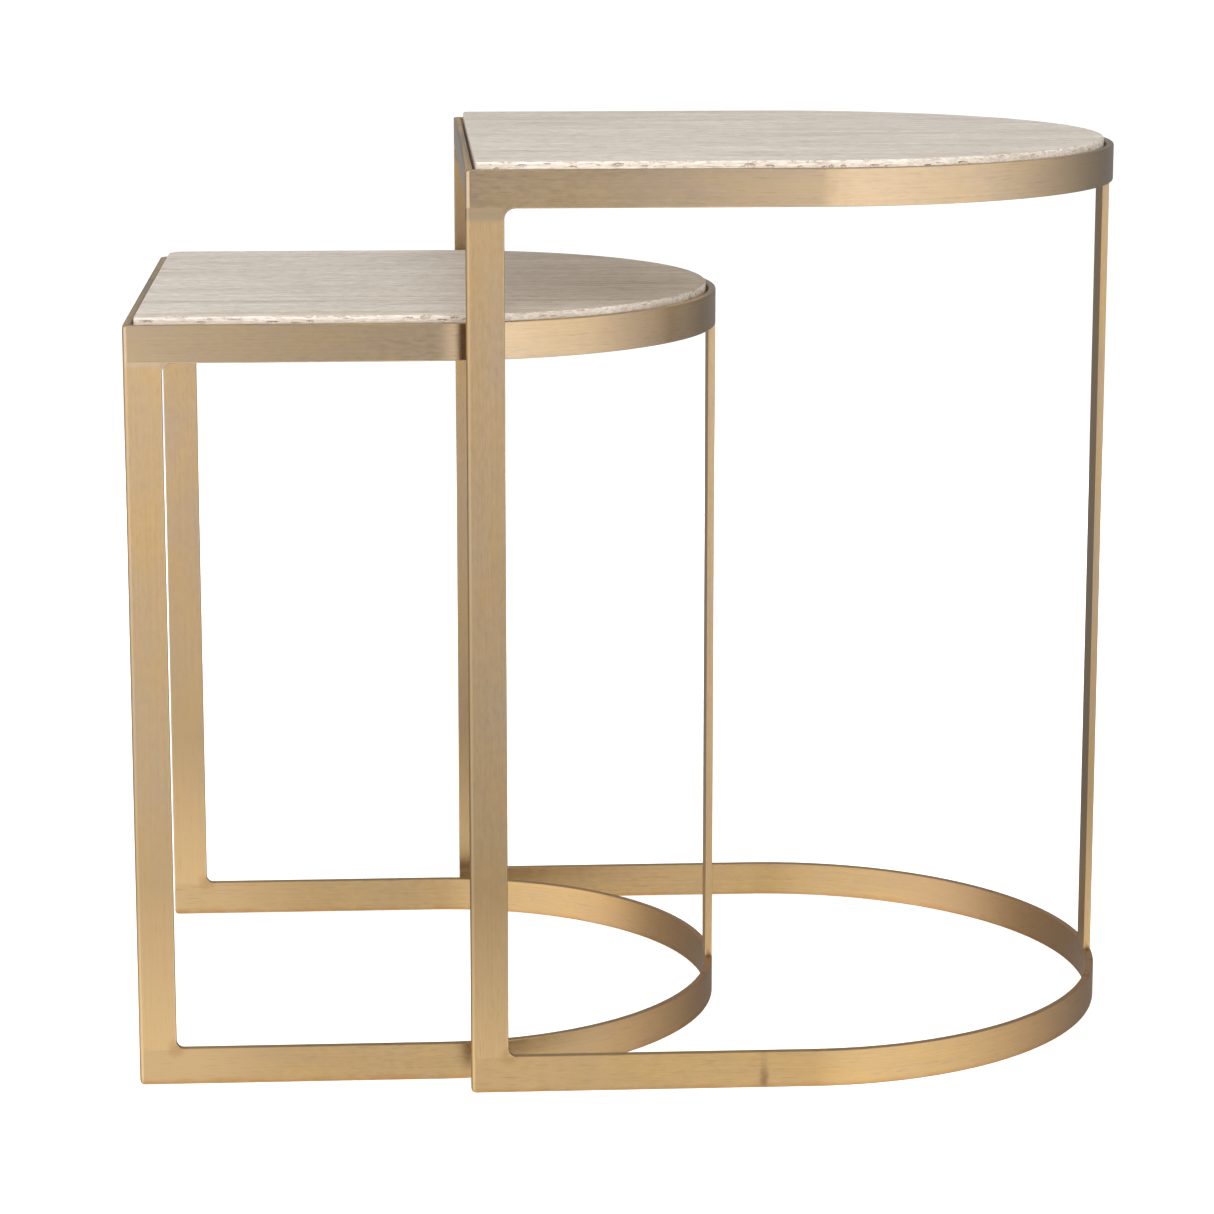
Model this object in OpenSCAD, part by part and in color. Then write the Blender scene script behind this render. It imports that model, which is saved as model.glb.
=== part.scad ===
// Two nesting tables of flat bar with drop-in stone tops.
// Each table is D-shaped: square at the left end (-X), half round at the right end (+X).
// The small table slides under the large one through the open square end.

/* [Bar stock] */
// Width of the flat bar, which stands on edge in the rims and base rings
bar_w = 25; // [20:1:30]
// Thickness of the flat bar
bar_t = 5; // [4:0.5:6]
// Width of the narrower bar across the square end of each rim
end_bar_w = 19; // [18:1:25]

/* [Large table] */
// Length from the square end to the tip of the curve
large_l = 458; // [430:1:500]
// Width over the two straight sides
large_w = 458; // [440:1:480]
// Height of the rim's top edge above the floor
large_h = 616; // [580:1:660]

/* [Small table] */
// Length from the square end to the tip of the curve
small_l = 402; // [340:1:420]
// Width over the two straight sides
small_w = 400; // [340:1:410]
// Height of the rim's top edge above the floor
small_h = 514; // [460:1:530]
// How far the small table is drawn out past the large one's square end
drawn_out = 222; // [0:1:300]

/* [Stone tops] */
// Thickness of the stone slabs
slab_t = 15; // [12:1:18]
// Height of a slab's upper face above the rim's top edge
slab_proud = 4.5; // [0:0.5:6]
// Gap between a slab's edge and the inside of the rim
slab_gap = 2; // [1:0.5:4]
// Plan radius of a slab's two square corners
slab_corner_r = 3; // [1:0.5:10]

/* [Slab seat] */
// Diameter of the clear bumpers that a slab rests on
bumper_d = 10; // [8:1:14]
// Height of a bumper
bumper_h = 1.5; // [1:0.5:3]
// Length of the tabs inside the square end and the tip of the curve
tab_l = 24; // [18:1:30]
// Place of the two cross bars along a table, as a share of its length
cross_places = [0.28, 0.66];
// Place of a cross bar's bumpers, as a share of the half width
bumper_spread = 0.62; // [0.4:0.01:0.75]

/* [Joints] */
// Straight length at each end of a bow, before it meets the side bar
lead_in = 33; // [10:1:60]
// Radius of the welded fillets between the legs and the rim
rim_fillet_r = 7; // [3:0.5:12]
// Radius of the welded fillets between the legs and the base ring
base_fillet_r = 5; // [3:0.5:12]
// Radius of the small weld beads beside the nose leg
nose_bead_r = 3.5; // [2:0.5:6]
// How far the flat nose leg sits inside the curved outer face
nose_inset = 0.4; // [0.4:0.1:2]

/* [Hidden] */
$fn = 96;
total_l = large_l + drawn_out;
front = -1;
back = 1;
brass = "#b39a6f";
brass_dark = "#8f7558";
stone = "#d8d1c6";
clear_vinyl = "#e6e8e6";
// A table is [x of its square end, length, width, rim height]
large = [total_l / 2 - large_l, large_l, large_w, large_h];
small = [-total_l / 2, small_l, small_w, small_h];
// Height of the seat bars' upper face below the rim's top edge
seat_drop = slab_t - slab_proud + bumper_h;

function left(t) = t[0];
function right(t) = t[0] + t[1];
function half(t) = t[2] / 2;
function top(t) = t[3];
// Centre of the half-round end
function curve_x(t) = right(t) - half(t);
// Where the side bars butt against the bow's straight ends
function joint_x(t) = curve_x(t) - lead_in;
// Underside of the rim band
function rim_z(t) = top(t) - bar_w;
// Upper face of the cross bars and tabs
function seat_z(t) = top(t) - seat_drop;
// Middle of a cross bar
function cross_x(t, i) = left(t) + cross_places[i] * t[1];

// D-shaped outline of a table, drawn in by an inset on every side
module outline(t, inset) {
  r = half(t) - inset;
  translate([curve_x(t), 0]) circle(r, $fn = 180);
  translate([left(t) + inset, -r]) square([curve_x(t) - left(t) - inset, 2 * r]);
}

// Straight bar on edge along one long side, from the square end to the bow
module side_bar(t, side, z) {
  color(brass)
    translate([left(t), side > 0 ? half(t) - bar_t : -half(t), z])
      cube([joint_x(t) - left(t), bar_t, bar_w]);
}

// Bar on edge bent round the curved end, with a straight stretch at each side
module bow(t, z) {
  color(brass)
    translate([0, 0, z])
      linear_extrude(bar_w)
        intersection() {
          difference() {
            outline(t, 0);
            outline(t, bar_t);
          }
          translate([joint_x(t), -half(t)])
            square([right(t) - joint_x(t), 2 * half(t)]);
        }
}

// Narrower bar that closes the square end of the rim, flush with its top
module rim_end_bar(t) {
  color(brass)
    translate([left(t), -half(t) + bar_t, top(t) - end_bar_w])
      cube([bar_t, 2 * (half(t) - bar_t), end_bar_w]);
}

// Flat leg at a square corner, between the base ring and the rim
module corner_leg(t, side) {
  color(brass)
    translate([left(t), side > 0 ? half(t) - bar_t : -half(t), bar_w])
      cube([bar_w, bar_t, rim_z(t) - bar_w]);
}

// Flat leg at the tip of the curve, turned across the table
module nose_leg(t) {
  color(brass_dark)
    translate([right(t) - nose_inset - bar_t, -bar_w / 2, bar_w])
      cube([bar_t, bar_w, rim_z(t) - bar_w]);
}

// Flat bar laid across under the slab, its ends cut to fit inside the rim
module cross_bar(t, i) {
  color(brass_dark)
    translate([0, 0, seat_z(t) - bar_t])
      linear_extrude(bar_t)
        intersection() {
          outline(t, bar_t);
          translate([cross_x(t, i) - bar_w / 2, -half(t)]) square([bar_w, 2 * half(t)]);
        }
}

// Short tab on the inside of the end bar
module end_tab(t) {
  color(brass_dark)
    translate([left(t) + bar_t, -bar_w / 2, seat_z(t) - bar_t])
      cube([tab_l, bar_w, bar_t]);
}

// Short tab on the inside of the bow, with its outer end cut to the curve
module nose_tab(t) {
  color(brass_dark)
    translate([0, 0, seat_z(t) - bar_t])
      linear_extrude(bar_t)
        intersection() {
          outline(t, bar_t);
          translate([right(t) - bar_t - tab_l, -bar_w / 2]) square([tab_l, bar_w]);
        }
}

// Concave fillet of weld metal filling the corner at the origin, towards +X and +Y
module fillet(r, depth) {
  linear_extrude(depth)
    difference() {
      square(r);
      translate([r, r]) circle(r, $fn = 48);
    }
}

// The two fillets inside the square corners at one height; way is +1 up or -1 down
module corner_welds(t, z, r, way) {
  color(brass)
    for (side = [front, back])
      translate([left(t) + bar_w, side > 0 ? half(t) : -half(t) + bar_t, z])
        scale([1, 1, way])
          rotate([90, 0, 0]) fillet(r, bar_t);
}

// The four small beads beside the nose leg, where it meets the rim and the base ring
module nose_welds(t) {
  color(brass)
    for (side = [front, back], way = [1, -1])
      translate([right(t) - nose_inset - bar_t + 0.8, side * bar_w / 2, way > 0 ? bar_w : rim_z(t)])
        scale([1, side, way])
          rotate([90, 0, 90]) fillet(nose_bead_r, bar_t - 1.6);
}

// Clear bumpers on the cross bars and the tabs
module slab_bumpers(t) {
  spots = [
    for (i = [0, 1], side = [front, back]) [cross_x(t, i), side * bumper_spread * half(t)],
    [left(t) + bar_t + tab_l / 2, 0],
    [right(t) - bar_t - tab_l / 2, 0],
  ];
  color(clear_vinyl)
    for (spot = spots)
      translate([spot[0], spot[1], seat_z(t)])
        cylinder(h = bumper_h, d = bumper_d, $fn = 32);
}

// Stone slab, standing a little proud of the rim
module stone_top(t) {
  inset = bar_t + slab_gap;
  r = half(t) - inset;
  x_end = left(t) + inset;
  color(stone)
    translate([0, 0, top(t) + slab_proud - slab_t])
      linear_extrude(slab_t) {
        translate([curve_x(t), 0]) circle(r, $fn = 180);
        translate([x_end + slab_corner_r, -r])
          square([curve_x(t) - x_end - slab_corner_r, 2 * r]);
        translate([x_end, slab_corner_r - r])
          square([2 * slab_corner_r, 2 * (r - slab_corner_r)]);
        for (side = [front, back])
          translate([x_end + slab_corner_r, side * (r - slab_corner_r)])
            circle(slab_corner_r, $fn = 48);
      }
}

module large_rim_front_bar() { side_bar(large, front, rim_z(large)); }
module large_rim_back_bar() { side_bar(large, back, rim_z(large)); }
module large_rim_end_bar() { rim_end_bar(large); }
module large_rim_bow() { bow(large, rim_z(large)); }
module large_base_front_bar() { side_bar(large, front, 0); }
module large_base_back_bar() { side_bar(large, back, 0); }
module large_base_bow() { bow(large, 0); }
module large_front_leg() { corner_leg(large, front); }
module large_back_leg() { corner_leg(large, back); }
module large_nose_leg() { nose_leg(large); }
module large_cross_bar_end() { cross_bar(large, 0); }
module large_cross_bar_nose() { cross_bar(large, 1); }
module large_end_tab() { end_tab(large); }
module large_nose_tab() { nose_tab(large); }
module large_rim_welds() { corner_welds(large, rim_z(large), rim_fillet_r, -1); }
module large_base_welds() { corner_welds(large, bar_w, base_fillet_r, 1); }
module large_nose_welds() { nose_welds(large); }
module large_slab_bumpers() { slab_bumpers(large); }
module large_stone_top() { stone_top(large); }

module small_rim_front_bar() { side_bar(small, front, rim_z(small)); }
module small_rim_back_bar() { side_bar(small, back, rim_z(small)); }
module small_rim_end_bar() { rim_end_bar(small); }
module small_rim_bow() { bow(small, rim_z(small)); }
module small_base_front_bar() { side_bar(small, front, 0); }
module small_base_back_bar() { side_bar(small, back, 0); }
module small_base_bow() { bow(small, 0); }
module small_front_leg() { corner_leg(small, front); }
module small_back_leg() { corner_leg(small, back); }
module small_nose_leg() { nose_leg(small); }
module small_cross_bar_end() { cross_bar(small, 0); }
module small_cross_bar_nose() { cross_bar(small, 1); }
module small_end_tab() { end_tab(small); }
module small_nose_tab() { nose_tab(small); }
module small_rim_welds() { corner_welds(small, rim_z(small), rim_fillet_r, -1); }
module small_base_welds() { corner_welds(small, bar_w, base_fillet_r, 1); }
module small_nose_welds() { nose_welds(small); }
module small_slab_bumpers() { slab_bumpers(small); }
module small_stone_top() { stone_top(small); }

large_rim_front_bar();
large_rim_back_bar();
large_rim_end_bar();
large_rim_bow();
large_base_front_bar();
large_base_back_bar();
large_base_bow();
large_front_leg();
large_back_leg();
large_nose_leg();
large_cross_bar_end();
large_cross_bar_nose();
large_end_tab();
large_nose_tab();
large_rim_welds();
large_base_welds();
large_nose_welds();
large_slab_bumpers();
large_stone_top();
small_rim_front_bar();
small_rim_back_bar();
small_rim_end_bar();
small_rim_bow();
small_base_front_bar();
small_base_back_bar();
small_base_bow();
small_front_leg();
small_back_leg();
small_nose_leg();
small_cross_bar_end();
small_cross_bar_nose();
small_end_tab();
small_nose_tab();
small_rim_welds();
small_base_welds();
small_nose_welds();
small_slab_bumpers();
small_stone_top();
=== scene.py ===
import random
from math import atan2, cos, pi, radians, sin

import bmesh
import bpy
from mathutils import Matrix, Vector


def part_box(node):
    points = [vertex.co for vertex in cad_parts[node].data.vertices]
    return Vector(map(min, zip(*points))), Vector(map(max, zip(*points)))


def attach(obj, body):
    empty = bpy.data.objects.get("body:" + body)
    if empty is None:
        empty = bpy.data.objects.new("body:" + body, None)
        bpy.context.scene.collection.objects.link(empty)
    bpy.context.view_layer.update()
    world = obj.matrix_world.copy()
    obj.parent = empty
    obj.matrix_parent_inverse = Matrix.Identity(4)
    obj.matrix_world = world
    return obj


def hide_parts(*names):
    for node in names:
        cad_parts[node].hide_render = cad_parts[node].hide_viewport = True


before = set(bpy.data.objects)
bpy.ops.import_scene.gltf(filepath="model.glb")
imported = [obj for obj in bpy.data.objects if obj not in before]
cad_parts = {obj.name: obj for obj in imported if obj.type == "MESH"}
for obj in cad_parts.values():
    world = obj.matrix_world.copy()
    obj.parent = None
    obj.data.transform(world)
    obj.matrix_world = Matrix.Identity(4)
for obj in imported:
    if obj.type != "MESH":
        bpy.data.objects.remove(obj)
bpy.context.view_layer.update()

bpy.ops.object.select_all(action="DESELECT")

# ------------------------------------------------------------------ side bars of the base rings and rims
# The straight bars along the front and the back of each table, on the floor and round the top: flat bar,
# 25 by 5 mm, stood on edge. The rolled edges are eased. The end at the square corner is dressed round, and
# the other end is sawn square, butt-welded to the bow and ground flush.

tables = ("large", "small")
# The flat bar's face and thickness
bar_face = 0.025
bar_thick = 0.005
# Radius of the eased edges, and of the ends that are dressed round
eased = 0.0009
dressed = 0.003


def pick(piece, kind, test):
    """In edit mode, selects only the edges or faces that pass the test."""
    bpy.ops.mesh.select_all(action="DESELECT")
    bpy.ops.mesh.select_mode(type=kind)
    mesh = bmesh.from_edit_mesh(piece.data)
    for item in {"EDGE": mesh.edges, "FACE": mesh.faces}[kind]:
        item.select_set(test(item))
    mesh.select_flush_mode()
    bmesh.update_edit_mesh(piece.data)


def at(value, target):
    """Whether two lengths are the same to a hundredth of a millimetre."""
    return abs(value - target) < 0.00001


def block(name, low, high):
    """A cube primitive stretched from one corner to the other, selected all over in edit mode."""
    bpy.ops.mesh.primitive_cube_add(size=1, location=(low + high) / 2)
    piece = bpy.context.object
    piece.name = piece.data.name = name
    piece.scale = high - low
    bpy.ops.object.transform_apply(location=True, rotation=True, scale=True)
    bpy.ops.object.mode_set(mode="EDIT")
    return piece


def smooth_over(piece):
    """Shades the roundings smooth and keeps the broad faces flat."""
    bpy.ops.object.shade_smooth_by_angle(angle=radians(40))
    bpy.ops.object.modifier_add(type="WEIGHTED_NORMAL")
    piece.modifiers[-1].keep_sharp = True
    piece.modifiers[-1].weight = 100
    bpy.ops.object.modifier_apply(modifier=piece.modifiers[-1].name)
    piece.select_set(False)


def close_up(piece):
    """Merges the doubles, turns the faces outwards and leaves the piece smooth, in object mode."""
    bpy.ops.mesh.select_all(action="SELECT")
    bpy.ops.mesh.remove_doubles(threshold=0.000001)
    bpy.ops.mesh.normals_make_consistent(inside=False)
    bpy.ops.object.mode_set(mode="OBJECT")
    smooth_over(piece)


def apply_bevel(piece, width):
    """Rounds the weighted edges of a piece: to the width given where the weight is 1, else to less."""
    bpy.ops.object.mode_set(mode="OBJECT")
    bpy.ops.object.modifier_add(type="BEVEL")
    rounding = piece.modifiers[-1]
    rounding.limit_method = "WEIGHT"
    rounding.width = width
    rounding.segments = 4
    bpy.ops.object.modifier_apply(modifier=rounding.name)
    bpy.ops.object.mode_set(mode="EDIT")


def flat_bar(node, along, square_ends, bury=0.0, dressed_edges=None):
    """Flat bar in a CAD node's place, its rolled edges eased. The ends named low or high are left square,
    to butt against another bar, and bury lets them run into that bar's eased edge. The edges that
    dressed_edges picks are dressed round."""
    low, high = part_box(node)
    low[along] -= bury
    high[along] += bury
    bar = block(node + "_stock", low, high)
    butts = [{"low": low, "high": high}[end][along] for end in square_ends]
    pick(bar, "EDGE",
         lambda edge: not any(all(at(v.co[along], butt) for v in edge.verts) for butt in butts))
    bpy.ops.transform.edge_bevelweight(value=eased / dressed)
    if dressed_edges:
        pick(bar, "EDGE", dressed_edges)
        bpy.ops.transform.edge_bevelweight(value=1)
    apply_bevel(bar, dressed)
    close_up(bar)
    return bar


def add(tree, kind, inputs=None, **settings):
    """A new shader node with its settings and the values of its unlinked inputs."""
    node = tree.nodes.new("ShaderNode" + kind)
    for name, value in settings.items():
        setattr(node, name, value)
    for name, value in (inputs or {}).items():
        node.inputs[name].default_value = value
    return node


def ramp(tree, factor, stops):
    """A colour ramp over a factor, from (position, colour) pairs."""
    node = add(tree, "ValToRGB")
    elements = node.color_ramp.elements
    while len(elements) < len(stops):
        elements.new(0.5)
    for element, (position, colour) in zip(elements, stops):
        element.position = position
        element.color = (*colour, 1)
    tree.links.new(factor, node.inputs["Fac"])
    return node.outputs["Color"]


def spread(tree, value, from_low, from_high, to_low=0.0, to_high=1.0):
    """A value mapped smoothly from one range to another."""
    node = add(tree, "MapRange", {1: from_low, 2: from_high, 3: to_low, 4: to_high},
               interpolation_type="SMOOTHSTEP")
    tree.links.new(value, node.inputs["Value"])
    return node.outputs["Result"]


def noise(tree, place, stretch, detail=3.0, rough=0.55, warp=0.0):
    """Noise over a place, with its own number of waves a metre along X, Y and Z."""
    mapping = add(tree, "Mapping", {"Scale": stretch})
    tree.links.new(place, mapping.inputs["Vector"])
    node = add(tree, "TexNoise", {"Scale": 1.0, "Detail": detail, "Roughness": rough, "Distortion": warp})
    tree.links.new(mapping.outputs["Vector"], node.inputs["Vector"])
    return node.outputs["Fac"]


def blended(tree, factor, first, second, how="MIX"):
    """Two colours mixed by a factor. Each of the three is a value or a link."""
    node = add(tree, "Mix", data_type="RGBA", blend_type=how)
    factor_socket, colour_a, colour_b = (node.inputs[number] for number in (0, 6, 7))
    for socket, value in zip((factor_socket, colour_a, colour_b), (factor, first, second)):
        if isinstance(value, bpy.types.NodeSocket):
            tree.links.new(value, socket)
        elif isinstance(value, tuple):
            socket.default_value = (*value, 1)
        else:
            socket.default_value = value
    return node.outputs[2]


def reckon(tree, how, first, second):
    """A Math node on two values or links."""
    node = add(tree, "Math", operation=how)
    for socket, value in zip(node.inputs, (first, second)):
        if isinstance(value, bpy.types.NodeSocket):
            tree.links.new(value, socket)
        else:
            socket.default_value = value
    return node.outputs[0]


# Strokes of the abrasive, in waves a metre along X, Y and Z
along_x = (7.0, 7.0, 1400.0)
along_z = (1400.0, 1400.0, 7.0)
weld_scale = (0.13, 0.08, 0.045)
heat_tint = (0.34, 0.175, 0.06)
orange_stain = (0.42, 0.22, 0.075)


def brass(name, strokes, tan, gold, drawn=0.3, painted_light_by_height=None, dull_seam=None, turned=None, heated=(),
          stained=0.0, painted_light_and_shade=()):
    """Satin brass finish, rubbed with abrasive along the strokes and lacquered.

    drawn: how much the strokes draw out its shine.
    painted_light_by_height: painted light and shade, how light it is made at each height, standing in for
    the reflections that change up the leg.
    dull_seam: the x and the strength of a dull, ground-off weld.
    turned: the height above which it takes the strokes of the rim, and the rim's colour.
    heated: the (x, z) places round which it is heat-tinted.
    stained: the height below which it is stained orange.
    painted_light_and_shade: painted light and shade along the table, standing in for the reflections there:
    where each begins and ends, its tone and its strength.
    """
    material = bpy.data.materials.new(name)
    material.use_nodes = True
    tree = material.node_tree
    shader = tree.nodes["Principled BSDF"]
    shader.inputs["Metallic"].default_value = 1.0
    shader.inputs["Anisotropic"].default_value = drawn
    shader.inputs["Anisotropic Rotation"].default_value = 0.0 if strokes == along_z else 0.25
    place = add(tree, "TexCoord").outputs["Object"]
    split = add(tree, "SeparateXYZ")
    tree.links.new(place, split.inputs[0])
    x, height = split.outputs["X"], split.outputs["Z"]

    def by_stroke(along, across):
        """A number of waves a metre along the strokes and another across them."""
        return tuple(along if waves < 100 else across for waves in strokes)

    grain = noise(tree, place, strokes, 5.0, 0.7)
    if turned:
        turned_at, rim_tone = turned
        ragged_line = reckon(tree, "MULTIPLY", noise(tree, place, (90, 90, 90)), 0.003)
        over = spread(tree, reckon(tree, "ADD", height, ragged_line), turned_at, turned_at + 0.0032)
        across = noise(tree, place, along_x, 5.0, 0.7)
        grain_mix = add(tree, "Mix", data_type="FLOAT")
        # Its sockets 0, 2 and 3 are the factor and the two values
        for number, value in zip((0, 2, 3), (over, grain, across)):
            tree.links.new(value, grain_mix.inputs[number])
        grain = grain_mix.outputs[0]
    # Patina in soft clouds, with a finer mottle over them
    clouds = noise(tree, place, by_stroke(11.0, 30.0), 5.0, 0.62, 0.4)
    tone = ramp(tree, clouds, [(0.32, tan), (0.68, gold)])
    mottle = noise(tree, place, by_stroke(160.0, 420.0), 4.0, 0.65)
    mottled = ramp(tree, mottle, [(0.3, (0.94,) * 3), (0.7, (1.05,) * 3)])
    tone = blended(tree, 1.0, tone, mottled, "MULTIPLY")
    # Painted light and shade by height, standing in for the reflections that change up the leg
    if painted_light_by_height:
        # More golden towards the foot
        tone = blended(tree, spread(tree, height, 0.3, 0.0), tone, gold)
        painted_light_ramp = ramp(tree, height, [(at_height, (light,) * 3) for at_height, light in painted_light_by_height])
        tone = blended(tree, 1.0, tone, painted_light_ramp, "MULTIPLY")
    if turned:
        tone = blended(tree, over, tone, rim_tone)
    grained = ramp(tree, grain, [(0.3, (0.93,) * 3), (0.7, (1.05,) * 3)])
    tone = blended(tree, 1.0, tone, grained, "MULTIPLY")
    # Painted light and shade along the table, standing in for the reflections there
    for begins, ends, shade, strength in painted_light_and_shade:
        tone = blended(tree, spread(tree, x, begins, ends, 0.0, strength), tone, shade)
    marks = noise(tree, place, by_stroke(60.0, 2600.0), 1.0, 0.4)
    scratched = spread(tree, marks, 0.665, 0.72, 0.0, 0.4)
    tone = blended(tree, scratched, tone, tuple(0.45 * c for c in tan))
    if dull_seam:
        seam_x, strength = dull_seam
        off_seam = reckon(tree, "ABSOLUTE", reckon(tree, "SUBTRACT", x, seam_x), 0.0)
        wander = reckon(tree, "MULTIPLY", noise(tree, place, (170, 170, 170)), 0.005)
        seam = spread(tree, reckon(tree, "ADD", off_seam, wander), 0.0066, 0.003, 0.0, strength)
        seam = reckon(tree, "MULTIPLY", seam, spread(tree, height, 0.022, 0.0, 0.22, 1.0))
        tone = blended(tree, seam, tone, weld_scale)
    for heat_x, heat_z in heated:
        flat = add(tree, "CombineXYZ")
        tree.links.new(x, flat.inputs["X"])
        tree.links.new(height, flat.inputs["Z"])
        reach = add(tree, "VectorMath", {1: (heat_x, 0, heat_z)}, operation="DISTANCE")
        tree.links.new(flat.outputs[0], reach.inputs[0])
        ragged = reckon(tree, "MULTIPLY", noise(tree, place, (150, 150, 150)), 0.008)
        heat = spread(tree, reckon(tree, "ADD", reach.outputs["Value"], ragged), 0.013, 0.005, 0.0, 0.4)
        tone = blended(tree, heat, tone, heat_tint)
    if stained:
        blot = reckon(tree, "MULTIPLY", noise(tree, place, (45, 45, 90), 4.0, 0.6), stained)
        low_down = spread(tree, reckon(tree, "ADD", height, blot), stained, 0.4 * stained, 0.0, 0.8)
        tone = blended(tree, low_down, tone, orange_stain)
    tree.links.new(tone, shader.inputs["Base Color"])
    tree.links.new(spread(tree, mottle, 0.3, 0.7, 0.36, 0.44), shader.inputs["Roughness"])
    relief = add(tree, "Bump", {"Strength": 0.12, "Distance": 0.0001})
    tree.links.new(grain, relief.inputs["Height"])
    tree.links.new(relief.outputs["Normal"], shader.inputs["Normal"])
    lie = add(tree, "Tangent", direction_type="RADIAL", axis="Z")
    tree.links.new(lie.outputs["Tangent"], shader.inputs["Tangent"])
    return material


# The two tones that the patina varies between, on the rims and on the base rings. The base rings' pair is
# more golden and darker; its darkness is a painted shade for their dimmer reflections near the floor
tan_rim = (0.55, 0.42, 0.295)
gold_rim = (0.61, 0.45, 0.27)
tan_base = (0.43, 0.298, 0.16)
gold_base = (0.49, 0.322, 0.138)

# Painted reflection: the redder tone of the base rings' noses, standing in for the dim room they reflect;
# and painted light: the lighter tone of the base rings at the feet of the corner legs
nose_painted_reflection = (0.50, 0.275, 0.15)
corner_painted_light = {"large": (0.48, 0.325, 0.158), "small": (0.535, 0.365, 0.185)}


def dress(piece, material, slot, body, *nodes):
    """Gives a finished piece its material and its place in the frame."""
    if not piece.data.materials:
        piece.data.materials.append(material)
    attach(piece, body)
    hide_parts(*nodes)


ring_brass = {}
for table in tables:
    end_low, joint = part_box(f"{table}_base_front_bar")
    # Where the inner edge of the corner leg meets the base ring
    heel = (end_low.x + bar_face, bar_face)
    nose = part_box(f"{table}_base_bow")[1]
    seam_strength = {"large": 0.7, "small": 0.06}[table]
    ring_brass[table, "base"] = brass(f"{table}_base_brass", along_x, tan_base, gold_base,
                                      dull_seam=(joint.x, seam_strength), heated=[heel], stained=0.009,
                                      painted_light_and_shade=[(end_low.x + 0.12, end_low.x + 0.03, corner_painted_light[table], 1.0),
                                              (joint.x + 0.10, nose.x, nose_painted_reflection, 0.45)])
    ring_brass[table, "rim"] = brass(f"{table}_rim_brass", along_x, tan_rim, gold_rim, drawn=0.95)
    for level in ("base", "rim"):
        for side in ("front", "back"):
            node = f"{table}_{level}_{side}_bar"
            low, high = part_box(node)
            outer_y = low.y if side == "front" else high.y
            outer_z = low.z if level == "base" else high.z

            def corner_edge(edge):
                """The upright outer edge and the outer top or bottom edge of the bar's end."""
                at_end = all(at(v.co.x, low.x) for v in edge.verts)
                return at_end and (all(at(v.co.y, outer_y) for v in edge.verts)
                                   or all(at(v.co.z, outer_z) for v in edge.verts))

            bar = flat_bar(node, 0, ["high"], dressed_edges=corner_edge)
            dress(bar, ring_brass[table, level], "brass_finished_bar", f"{table}_table", node)

# ------------------------------------------------------------------ bows of the base rings and rims
# The curved half of each ring: the same flat bar, rolled round a half circle, with a short straight
# stretch left at each end where the rolls grip it.

bow_steps = 96
lead_in = 0.033
for table in tables:
    for level in ("base", "rim"):
        node = f"{table}_{level}_bow"
        low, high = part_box(node)
        bar_low, bar_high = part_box(f"{table}_{level}_front_bar")
        thick = bar_high.y - bar_low.y
        curve_x = low.x + lead_in
        bpy.ops.mesh.primitive_plane_add(size=1, rotation=(0, pi / 2, 0),
                                         location=(low.x, bar_low.y + thick / 2, (low.z + high.z) / 2))
        ring = bpy.context.object
        ring.name = ring.data.name = node + "_rolled"
        ring.scale = (high.z - low.z, thick, 1)
        bpy.ops.object.transform_apply(location=True, rotation=True, scale=True)
        bpy.ops.object.mode_set(mode="EDIT")
        bpy.ops.mesh.select_all(action="SELECT")
        bpy.ops.mesh.bevel(offset=eased, segments=4, profile=0.5, affect="VERTICES")
        bpy.ops.mesh.select_all(action="SELECT")
        bpy.ops.mesh.extrude_region_move(TRANSFORM_OT_translate={"value": (lead_in, 0, 0)})
        bpy.ops.mesh.spin(steps=bow_steps, angle=-pi, center=(curve_x, 0, 0), axis=(0, 0, 1))
        bpy.ops.mesh.extrude_region_move(TRANSFORM_OT_translate={"value": (-lead_in, 0, 0)})
        close_up(ring)
        dress(ring, ring_brass[table, level], "brass_finished_bar", f"{table}_table", node)

# ------------------------------------------------------------------ rim end bars
# The bar that closes the square end of each rim. It is a narrower flat bar, 19 by 5 mm, flush with the top
# of the rim and welded between the two side bars.

for table in tables:
    node = f"{table}_rim_end_bar"
    bar = flat_bar(node, 1, ["low", "high"], bury=eased)
    dress(bar, ring_brass[table, "rim"], "brass_finished_bar", f"{table}_table", node)

# ------------------------------------------------------------------ legs
# Three flat legs a table: two at the square corners with their broad faces to the front and back, and one
# at the nose turned across the table. Each stands on the base ring and is welded under the rim. They are
# rubbed lengthwise, and the rubbing of the rim runs over their tops.

# How far below the rim its rubbing runs over the legs, and its tone there
turned_drop = {"large": 0.008, "small": 0.0024}
turned_tone = {"large": (0.345, 0.258, 0.163), "small": (0.505, 0.38, 0.252)}
tan_leg = (0.60, 0.44, 0.285)
gold_leg = (0.66, 0.45, 0.225)
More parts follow.
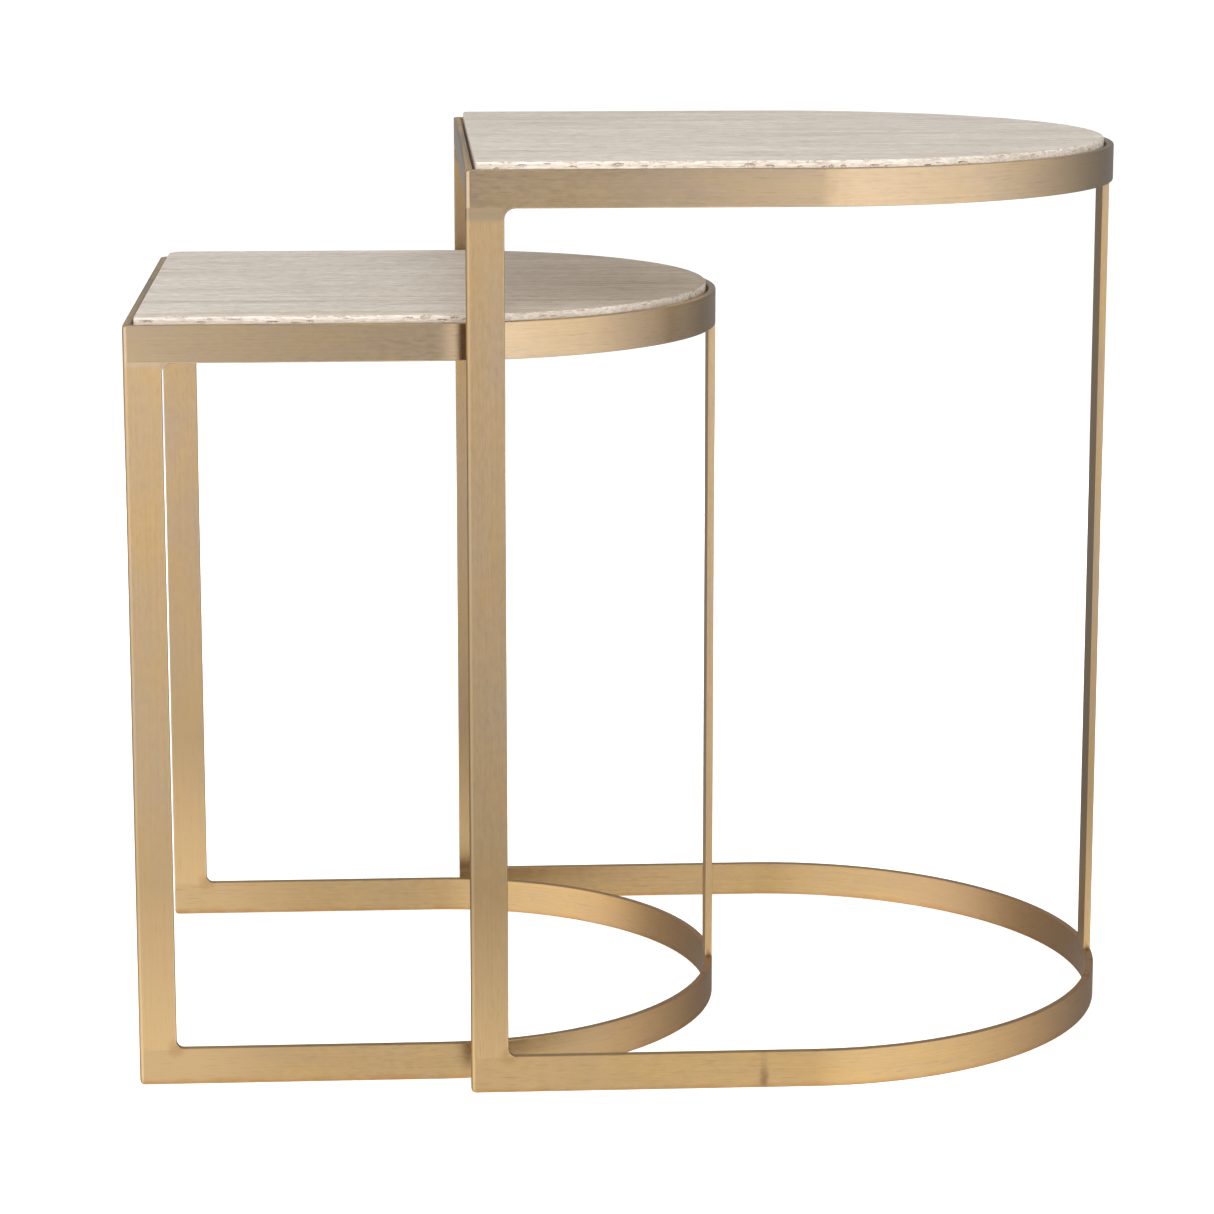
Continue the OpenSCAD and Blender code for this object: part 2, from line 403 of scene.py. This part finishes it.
# Painted light and shade: how light the finish is made at each height, standing in for the reflections that
# change up the leg
leg_painted_light = {"large": [(0.02, 0.73), (0.06, 0.64), (0.14, 0.46), (0.34, 0.56), (0.585, 0.68)],
             "small": [(0.02, 0.84), (0.06, 0.79), (0.14, 0.64), (0.30, 0.68), (0.485, 0.78)]}
leg_brass = {}
for table in tables:
    low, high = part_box(f"{table}_front_leg")
    leg_brass[table] = brass(f"{table}_leg_brass", along_z, tan_leg, gold_leg, painted_light_by_height=leg_painted_light[table],
                             turned=(high.z - turned_drop[table], turned_tone[table]),
                             heated=[(high.x, low.z)])
    for place in ("front", "back", "nose"):
        node = f"{table}_{place}_leg"
        low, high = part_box(node)
        outer_y = {"front": low.y, "back": high.y, "nose": None}[place]

        def outer_edge(edge):
            """The upright edge on the outside of the square corner. The nose leg has none."""
            return outer_y is not None and all(at(v.co.x, low.x) and at(v.co.y, outer_y)
                                               for v in edge.verts)

        leg = flat_bar(node, 2, ["low", "high"], bury=eased, dressed_edges=outer_edge)
        dress(leg, leg_brass[table], "brass_finished_bar", f"{table}_table", node)

# ------------------------------------------------------------------ welds
# Weld metal in the inner corners between the legs and the two rings, filed to a smooth hollow and rubbed
# with the rest. The rim's are larger than the base ring's, and the nose legs have a small one on each side.


def hollow_weld(name, corner, reach, across, way, depth):
    """Weld metal in the corner between an upright and a level bar: a block that runs a little into both
    bars, hollowed by a round file. across is 0 or 1, the axis along the level bar, and way is -1 or 1 along
    it and along Z. depth is the low and high end of the weld on the third axis."""
    third = 1 - across
    low, high = Vector((0, 0, 0)), Vector((0, 0, 0))
    low[third], high[third] = depth
    for axis, turn in ((across, way[0]), (2, way[1])):
        ends = (corner[axis] - turn * eased, corner[axis] + turn * reach)
        low[axis], high[axis] = min(ends), max(ends)
    weld = block(name, low, high)
    bpy.ops.object.mode_set(mode="OBJECT")
    centre = Vector(corner)
    centre[across] += way[0] * reach
    centre[2] += way[1] * reach
    centre[third] = sum(depth) / 2
    lying = (pi / 2, 0, 0) if across == 0 else (0, pi / 2, 0)
    file_length = 0.03
    bpy.ops.mesh.primitive_cylinder_add(vertices=64, radius=reach, depth=file_length, location=centre,
                                        rotation=lying)
    file_cut = bpy.context.object
    bpy.context.view_layer.objects.active = weld
    file_cut.select_set(False)
    bpy.ops.object.modifier_add(type="BOOLEAN")
    weld.modifiers[-1].object = file_cut
    weld.modifiers[-1].operation = "DIFFERENCE"
    bpy.ops.object.modifier_apply(modifier=weld.modifiers[-1].name)
    bpy.data.objects.remove(file_cut)
    weld.select_set(True)
    bpy.ops.object.mode_set(mode="EDIT")

    def lip(edge):
        """The two curved edges of the hollow."""
        from_centre = [Vector((v.co[across] - centre[across], v.co[2] - centre[2])).length
                       for v in edge.verts]
        on_curve = all(abs(length - reach) < 0.0001 for length in from_centre)
        return on_curve and at(edge.verts[0].co[third], edge.verts[1].co[third])

    pick(weld, "EDGE", lip)
    bpy.ops.mesh.bevel(offset=eased, segments=3, profile=0.5, affect="EDGES")
    return weld


def mirror_copy(scale, centre=(0, 0, 0)):
    """In edit mode, adds a mirror image of all that there is."""
    bpy.ops.mesh.select_all(action="SELECT")
    bpy.ops.mesh.duplicate()
    bpy.ops.transform.resize(value=scale, center_override=centre)


all_ways = (300.0, 300.0, 300.0)
for table in tables:
    rim_tone = turned_tone[table]
    weld_brass = {"rim": brass(f"{table}_rim_weld_brass", all_ways, rim_tone, rim_tone),
                  "base": brass(f"{table}_base_weld_brass", all_ways, tan_base, gold_base)}
    for level in ("base", "rim"):
        node = f"{table}_{level}_welds"
        low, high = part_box(node)
        leg_low, leg_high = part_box(f"{table}_front_leg")
        corner_z, up = (low.z, 1) if level == "base" else (high.z, -1)
        weld = hollow_weld(node + "_filed", (low.x, 0, corner_z), high.x - low.x, 0, (1, up),
                           (leg_low.y, leg_high.y))
        mirror_copy((1, -1, 1))
        close_up(weld)
        dress(weld, weld_brass[level], "weld_metal", f"{table}_table", node)
    node = f"{table}_nose_welds"
    low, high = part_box(node)
    leg_low, leg_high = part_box(f"{table}_nose_leg")
    weld = hollow_weld(node + "_filed", (0, leg_low.y, low.z), leg_low.y - low.y, 1, (-1, 1),
                       (low.x, high.x))
    mirror_copy((1, -1, 1))
    mirror_copy((1, 1, -1), (0, 0, (low.z + high.z) / 2))
    close_up(weld)
    dress(weld, weld_brass["base"], "weld_metal", f"{table}_table", node)

# ------------------------------------------------------------------ seat bars
# What the slab lies on, out of sight: two flat bars laid across inside the rim, and a short tab inside the
# end bar and inside the nose. Their ends are cut to the rim, and they are left darker and duller.

seat_brass = brass("seat_bar_brass", (7.0, 900.0, 900.0), (0.36, 0.255, 0.155), (0.44, 0.30, 0.15))
for table in tables:
    rim_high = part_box(f"{table}_rim_bow")[1]
    curve_x = rim_high.x - rim_high.y
    for place in ("cross_bar_end", "cross_bar_nose", "end_tab", "nose_tab"):
        node = f"{table}_{place}"
        along = 0 if place.endswith("tab") else 1
        ends = {"end_tab": ["low"], "nose_tab": ["high"]}.get(place, ["low", "high"])
        low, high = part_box(node)
        piece = block(node + "_cut", low, high)
        if place == "cross_bar_nose":
            # The sloping ends, cut square to the rim's inner face and sunk a little into it. The middle of
            # an end is 6 mm short of its tip
            middle = Vector(((low.x + high.x) / 2 - curve_x, high.y - 0.006, 0)).normalized()
            inner = rim_high.y - bar_thick + 0.0004
            for turn in (-1, 1):
                away = Vector((middle.x, turn * middle.y, 0))
                bpy.ops.mesh.select_all(action="SELECT")
                bpy.ops.mesh.bisect(plane_co=Vector((curve_x, 0, 0)) + inner * away, plane_no=away,
                                    use_fill=True, clear_outer=True)
        limits = {"low": low[along], "high": high[along]}

        def rolled(edge):
            """The edges that run along the bar, and those round a free end."""
            if place == "cross_bar_nose":
                return abs(edge.verts[0].co.y - edge.verts[1].co.y) > 0.1
            return not any(all(at(v.co[along], limits[end]) for v in edge.verts) for end in ends)

        pick(piece, "EDGE", rolled)
        bpy.ops.mesh.bevel(offset=eased, segments=3, profile=0.5, affect="EDGES")
        close_up(piece)
        dress(piece, seat_brass, "brass_finished_bar", f"{table}_table", node)

# ------------------------------------------------------------------ clear bumpers
# Six self-adhesive bumpers of clear soft vinyl, 10 mm across, stuck on the seat bars and tabs. The slab
# rests on them.

clear_vinyl = bpy.data.materials.new("clear_vinyl")
clear_vinyl.use_nodes = True
tree = clear_vinyl.node_tree
shader = tree.nodes["Principled BSDF"]
shader.inputs["Base Color"].default_value = (0.86, 0.88, 0.86, 1)
shader.inputs["Transmission Weight"].default_value = 0.85
shader.inputs["IOR"].default_value = 1.49
place = add(tree, "TexCoord").outputs["Object"]
haze = noise(tree, place, (700, 700, 700))
tree.links.new(spread(tree, haze, 0.3, 0.7, 0.12, 0.3), shader.inputs["Roughness"])
relief = add(tree, "Bump", {"Strength": 0.2, "Distance": 0.0001})
tree.links.new(haze, relief.inputs["Height"])
tree.links.new(relief.outputs["Normal"], shader.inputs["Normal"])
for table in tables:
    node = f"{table}_slab_bumpers"
    low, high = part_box(node)
    radius = 0.005
    spots = [(low.x + radius, 0), (high.x - radius, 0)]
    for place in ("cross_bar_end", "cross_bar_nose"):
        bar_low, bar_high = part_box(f"{table}_{place}")
        spots += [((bar_low.x + bar_high.x) / 2, side * (high.y - radius)) for side in (-1, 1)]
    first_x, first_y = spots[0]
    bpy.ops.mesh.primitive_cylinder_add(vertices=40, radius=radius, depth=high.z - low.z,
                                        location=(first_x, first_y, (low.z + high.z) / 2))
    bumpers = bpy.context.object
    bumpers.name = bumpers.data.name = node + "_moulded"
    bpy.ops.object.transform_apply(location=True, rotation=True, scale=True)
    bpy.ops.object.mode_set(mode="EDIT")
    pick(bumpers, "EDGE", lambda edge: all(at(v.co.z, high.z) for v in edge.verts))
    bpy.ops.mesh.bevel(offset=eased, segments=5, profile=0.5, affect="EDGES")
    bpy.ops.mesh.select_all(action="SELECT")
    for spot_x, spot_y in spots[1:]:
        step = (spot_x - first_x, spot_y - first_y, 0)
        bpy.ops.mesh.duplicate_move(TRANSFORM_OT_translate={"value": step})
        first_x, first_y = spot_x, spot_y
    close_up(bumpers)
    dress(bumpers, clear_vinyl, "clear_bumper", f"{table}_table", node)

# ------------------------------------------------------------------ stone tops
# A 15 mm slab of vein-cut travertine for each table, dropped loose into the rim and standing 4.5 mm above
# it. It is honed, its veins run along the table, and its sawn arris has crumbled in places.

travertine = bpy.data.materials.new("honed_travertine")
travertine.use_nodes = True
tree = travertine.node_tree
shader = tree.nodes["Principled BSDF"]
shader.inputs["Specular IOR Level"].default_value = 0.3
place = add(tree, "TexCoord").outputs["Object"]
broad = noise(tree, place, (2.2, 30.0, 60.0), 5.0, 0.6, 0.5)
fine = noise(tree, place, (9.5, 140.0, 420.0), 6.0, 0.72, 0.3)
thread = noise(tree, place, (115.0, 560.0, 900.0), 5.0, 0.8, 0.2)
long_vein = noise(tree, place, (1.6, 150.0, 300.0), 3.0, 0.6, 0.6)
tone = ramp(tree, broad, [(0.3, (0.55, 0.485, 0.42)), (0.46, (0.615, 0.565, 0.50)),
                          (0.6, (0.64, 0.595, 0.535)), (0.74, (0.58, 0.52, 0.455))])
streaks = ramp(tree, fine, [(0.32, (0.74, 0.70, 0.66)), (0.45, (0.95, 0.94, 0.925)),
                            (0.56, (1.04, 1.04, 1.04)), (0.68, (1.17, 1.17, 1.17))])
tone = blended(tree, 1.0, tone, streaks, "MULTIPLY")
specks = ramp(tree, thread, [(0.32, (0.64, 0.57, 0.51)), (0.5, (1.0, 0.995, 0.985)),
                             (0.68, (1.26, 1.26, 1.26))])
tone = blended(tree, 1.0, tone, specks, "MULTIPLY")
tone = blended(tree, spread(tree, long_vein, 0.58, 0.66, 0.0, 0.45), tone, (0.46, 0.385, 0.32))
cells = add(tree, "Mapping", {"Scale": (90.0, 420.0, 420.0)})
tree.links.new(place, cells.inputs["Vector"])
holes = add(tree, "TexVoronoi", {"Scale": 1.0, "Randomness": 1.0}, feature="F1")
tree.links.new(cells.outputs["Vector"], holes.inputs["Vector"])
patches = noise(tree, place, (12.0, 60.0, 200.0), 3.0, 0.6)
pits = reckon(tree, "MULTIPLY", spread(tree, holes.outputs["Distance"], 0.24, 0.12),
              spread(tree, patches, 0.55, 0.63))
tone = blended(tree, reckon(tree, "MULTIPLY", pits, 0.55), tone, (0.30, 0.235, 0.185))
tree.links.new(tone, shader.inputs["Base Color"])
tree.links.new(spread(tree, fine, 0.3, 0.7, 0.42, 0.58), shader.inputs["Roughness"])
sunk = add(tree, "Bump", {"Strength": 0.6, "Distance": 0.0006}, invert=True)
tree.links.new(pits, sunk.inputs["Height"])
tooth = add(tree, "Bump", {"Strength": 0.12, "Distance": 0.0002})
tree.links.new(thread, tooth.inputs["Height"])
tree.links.new(sunk.outputs["Normal"], tooth.inputs["Normal"])
tree.links.new(tooth.outputs["Normal"], shader.inputs["Normal"])

# Where it has crumbled, the stone is rough and pinker, and painted a little darker as shade in the hollows
crumbled_stone_shaded = bpy.data.materials.new("crumbled_travertine_painted_shade")
crumbled_stone_shaded.use_nodes = True
tree = crumbled_stone_shaded.node_tree
shader = tree.nodes["Principled BSDF"]
shader.inputs["Roughness"].default_value = 0.9
place = add(tree, "TexCoord").outputs["Object"]
crumbs = noise(tree, place, (900, 900, 900), 4.0, 0.7)
tree.links.new(ramp(tree, crumbs, [(0.35, (0.33, 0.255, 0.205)), (0.65, (0.66, 0.59, 0.52))]),
               shader.inputs["Base Color"])
relief = add(tree, "Bump", {"Strength": 0.7, "Distance": 0.0003})
tree.links.new(crumbs, relief.inputs["Height"])
tree.links.new(relief.outputs["Normal"], shader.inputs["Normal"])

arris = 0.0012
corner_rounding = {("large", -1): 0.002, ("large", 1): 0.003, ("small", -1): 0.0022, ("small", 1): 0.011}
chip_count = {"large": 190, "small": 160}
for table in tables:
    node = f"{table}_stone_top"
    low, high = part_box(node)
    rim_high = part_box(f"{table}_rim_bow")[1]
    curve_x = rim_high.x - rim_high.y
    bpy.ops.mesh.primitive_cylinder_add(vertices=256, radius=high.y, depth=high.z - low.z,
                                        location=(curve_x, 0, (low.z + high.z) / 2))
    slab = bpy.context.object
    slab.name = slab.data.name = node + "_slab"
    bpy.ops.object.transform_apply(location=True, rotation=True, scale=True)
    bpy.ops.object.mode_set(mode="EDIT")
    bpy.ops.mesh.select_all(action="SELECT")
    bpy.ops.mesh.bisect(plane_co=(curve_x, 0, 0), plane_no=(1, 0, 0), use_fill=True, clear_inner=True)
    pick(slab, "FACE", lambda face: face.normal.x < -0.99)
    bpy.ops.mesh.extrude_region_move(TRANSFORM_OT_translate={"value": (low.x - curve_x, 0, 0)})
    for side in (-1, 1):
        pick(slab, "EDGE",
             lambda edge: all(at(v.co.x, low.x) and at(v.co.y, side * high.y) for v in edge.verts))
        bpy.ops.mesh.bevel(offset=corner_rounding[table, side], segments=8, profile=0.5, affect="EDGES")
    for level in (low.z, high.z):
        pick(slab, "EDGE", lambda edge: all(at(v.co.z, level) for v in edge.verts)
             and any(abs(face.normal.z) < 0.5 for face in edge.link_faces))
        bpy.ops.mesh.bevel(offset=arris, segments=3, profile=0.5, affect="EDGES")
    bpy.ops.mesh.select_all(action="SELECT")
    bpy.ops.mesh.remove_doubles(threshold=0.000001)
    bpy.ops.mesh.normals_make_consistent(inside=False)
    bpy.ops.object.mode_set(mode="OBJECT")
    slab.select_set(False)

    # Crumbled places along the arris and holes in the sawn edge. They are spread over the way round the
    # slab, and half of them are put in its first part, along the front
    chance = random.Random({"large": 11, "small": 12}[table])
    straight = curve_x - low.x
    way_round = 2 * straight + pi * high.y
    bpy.ops.object.select_all(action="DESELECT")
    bpy.ops.mesh.primitive_ico_sphere_add(subdivisions=1, radius=0.0001,
                                          location=(curve_x, 0, high.z + 0.02))
    chips = bpy.context.object
    bpy.ops.object.transform_apply(location=True, rotation=True, scale=True)
    bpy.ops.object.mode_set(mode="EDIT")
    for number in range(chip_count[table]):
        along = chance.uniform(0.004, way_round - 0.004)
        if chance.random() < 0.5:
            along = chance.uniform(0.004, way_round * 0.45)
        if along < straight:
            spot = Vector((low.x + along, -high.y, 0))
            away = Vector((0, -1, 0))
        elif along > way_round - straight:
            spot = Vector((low.x + way_round - along, high.y, 0))
            away = Vector((0, 1, 0))
        else:
            turn = (along - straight) / high.y - pi / 2
            away = Vector((cos(turn), sin(turn), 0))
            spot = Vector((curve_x, 0, 0)) + high.y * away
        # Its radius is 0.4 to 2 mm, and most are small
        size = 0.0004 + 0.0016 * chance.random() ** 2.5
        on_arris = chance.random() < 0.6
        spot += away * (-0.0001 if on_arris else size * 0.35)
        spot.z = high.z - (0.0001 if on_arris else chance.uniform(0.0012, 0.005))
        bpy.ops.mesh.select_all(action="DESELECT")
        bpy.ops.mesh.primitive_ico_sphere_add(subdivisions=2, radius=size, location=spot)
        bpy.ops.transform.resize(value=(chance.uniform(1.2, 3.2), 1, chance.uniform(0.5, 0.9)),
                                 center_override=spot)
        bpy.ops.transform.rotate(value=-atan2(away.x, -away.y), orient_axis="Z", center_override=spot)
        bpy.ops.transform.vertex_random(offset=size * 0.25, seed=number)
    bpy.ops.object.mode_set(mode="OBJECT")
    for piece in (slab, chips):
        piece.data.materials.append(travertine)
        piece.data.materials.append(crumbled_stone_shaded)
    for face in chips.data.polygons:
        face.material_index = 1
    chips.select_set(False)
    slab.select_set(True)
    bpy.context.view_layer.objects.active = slab
    bpy.ops.object.modifier_add(type="BOOLEAN")
    slab.modifiers[-1].object = chips
    slab.modifiers[-1].operation = "DIFFERENCE"
    slab.modifiers[-1].use_self = True
    bpy.ops.object.modifier_apply(modifier=slab.modifiers[-1].name)
    bpy.data.objects.remove(chips)
    smooth_over(slab)
    dress(slab, travertine, "travertine", f"{table}_top", node)

# ------------------------------------------------------------------ studio
# A pale floor, soft lights in front, above and behind, and pale surroundings that are brightest to the
# front left and front right, with a dim gap between them and dim sides behind. None of it is part of the
# tables.

bpy.ops.mesh.primitive_plane_add(size=80, location=(0, 0, 0))
floor = bpy.context.object
floor.name = "studio_floor"
floor_paint = bpy.data.materials.new("studio_floor")
floor_paint.use_nodes = True
floor_shader = floor_paint.node_tree.nodes["Principled BSDF"]
floor_shader.inputs["Base Color"].default_value = (0.86, 0.86, 0.855, 1)
floor_shader.inputs["Roughness"].default_value = 0.9
floor_shader.inputs["Specular IOR Level"].default_value = 0.0
floor_shader.inputs["Emission Color"].default_value = (1, 1, 1, 1)
floor_shader.inputs["Emission Strength"].default_value = 0.5
floor.data.materials.append(floor_paint)
floor.visible_glossy = False

world = bpy.data.worlds.new("studio_air")
bpy.context.scene.world = world
world.use_nodes = True
tree = world.node_tree
sky = tree.nodes["Background"]
heading = add(tree, "TexCoord").outputs["Generated"]
split = add(tree, "SeparateXYZ")
tree.links.new(heading, split.inputs[0])
towards_front = reckon(tree, "MULTIPLY", split.outputs["Y"], -1.0)
from_front = reckon(tree, "ARCTAN2", split.outputs["X"], towards_front)
share = spread(tree, from_front, -pi, pi)
share.node.interpolation_type = "LINEAR"
# Brightness round the room, by the angle in degrees from straight in front, towards the right
walls = [(-180, 0.35), (-139, 0.33), (-105, 0.50), (-80, 1.70), (-50, 1.90), (-40, 1.75), (-20, 1.70),
         (-5, 1.70), (-2, 0.03), (4.2, 0.03), (7, 1.90), (16, 1.90), (30, 1.90), (50, 1.60), (66, 1.50),
         (84, 1.10), (102, 0.75), (120, 0.45), (140, 0.25), (180, 0.35)]
wall_light = ramp(tree, share, [((angle + 180) / 360, (light / 2,) * 3) for angle, light in walls])
overhead = spread(tree, split.outputs["Z"], 0.25, 0.8)
room = blended(tree, overhead, wall_light, (0.28, 0.28, 0.28))
path = add(tree, "LightPath")
room = blended(tree, path.outputs["Is Camera Ray"], room, (0.5, 0.5, 0.5))
tree.links.new(room, sky.inputs["Color"])
sky.inputs["Strength"].default_value = 2.0

# Where each light stands, and its watts
softboxes = {"softbox_left": ((-1.3, -2.0, 1.0), 6), "softbox_right": ((1.3, -2.0, 1.0), 6),
             "softbox_over": ((-0.1, -1.3, 1.6), 14), "fill_left": ((-0.9, 2.2, 0.95), 20),
             "fill_right": ((0.9, 2.2, 0.95), 20)}
for name, (lamp_at, watts) in softboxes.items():
    bpy.ops.object.light_add(type="AREA", location=lamp_at)
    lamp = bpy.context.object
    lamp.name = name
    lamp.rotation_euler = (Vector((0, 0, 0.5)) - Vector(lamp_at)).to_track_quat("-Z", "Y").to_euler()
    lamp.data.shape = "RECTANGLE"
    lamp.data.size, lamp.data.size_y = 0.9, 0.9
    lamp.data.energy = watts
    lamp.visible_camera = False
    lamp.visible_glossy = False

bpy.context.scene.view_settings.view_transform = "Standard"

bpy.ops.object.camera_add(location=(-0.160, -2.529, 0.819))
camera = bpy.context.object
camera.rotation_euler = (radians(90 - 10.43), 0, radians(-3.3))
camera.data.lens = 107
camera.data.sensor_width = 36
camera.data.shift_y = -0.08
bpy.context.scene.camera = camera
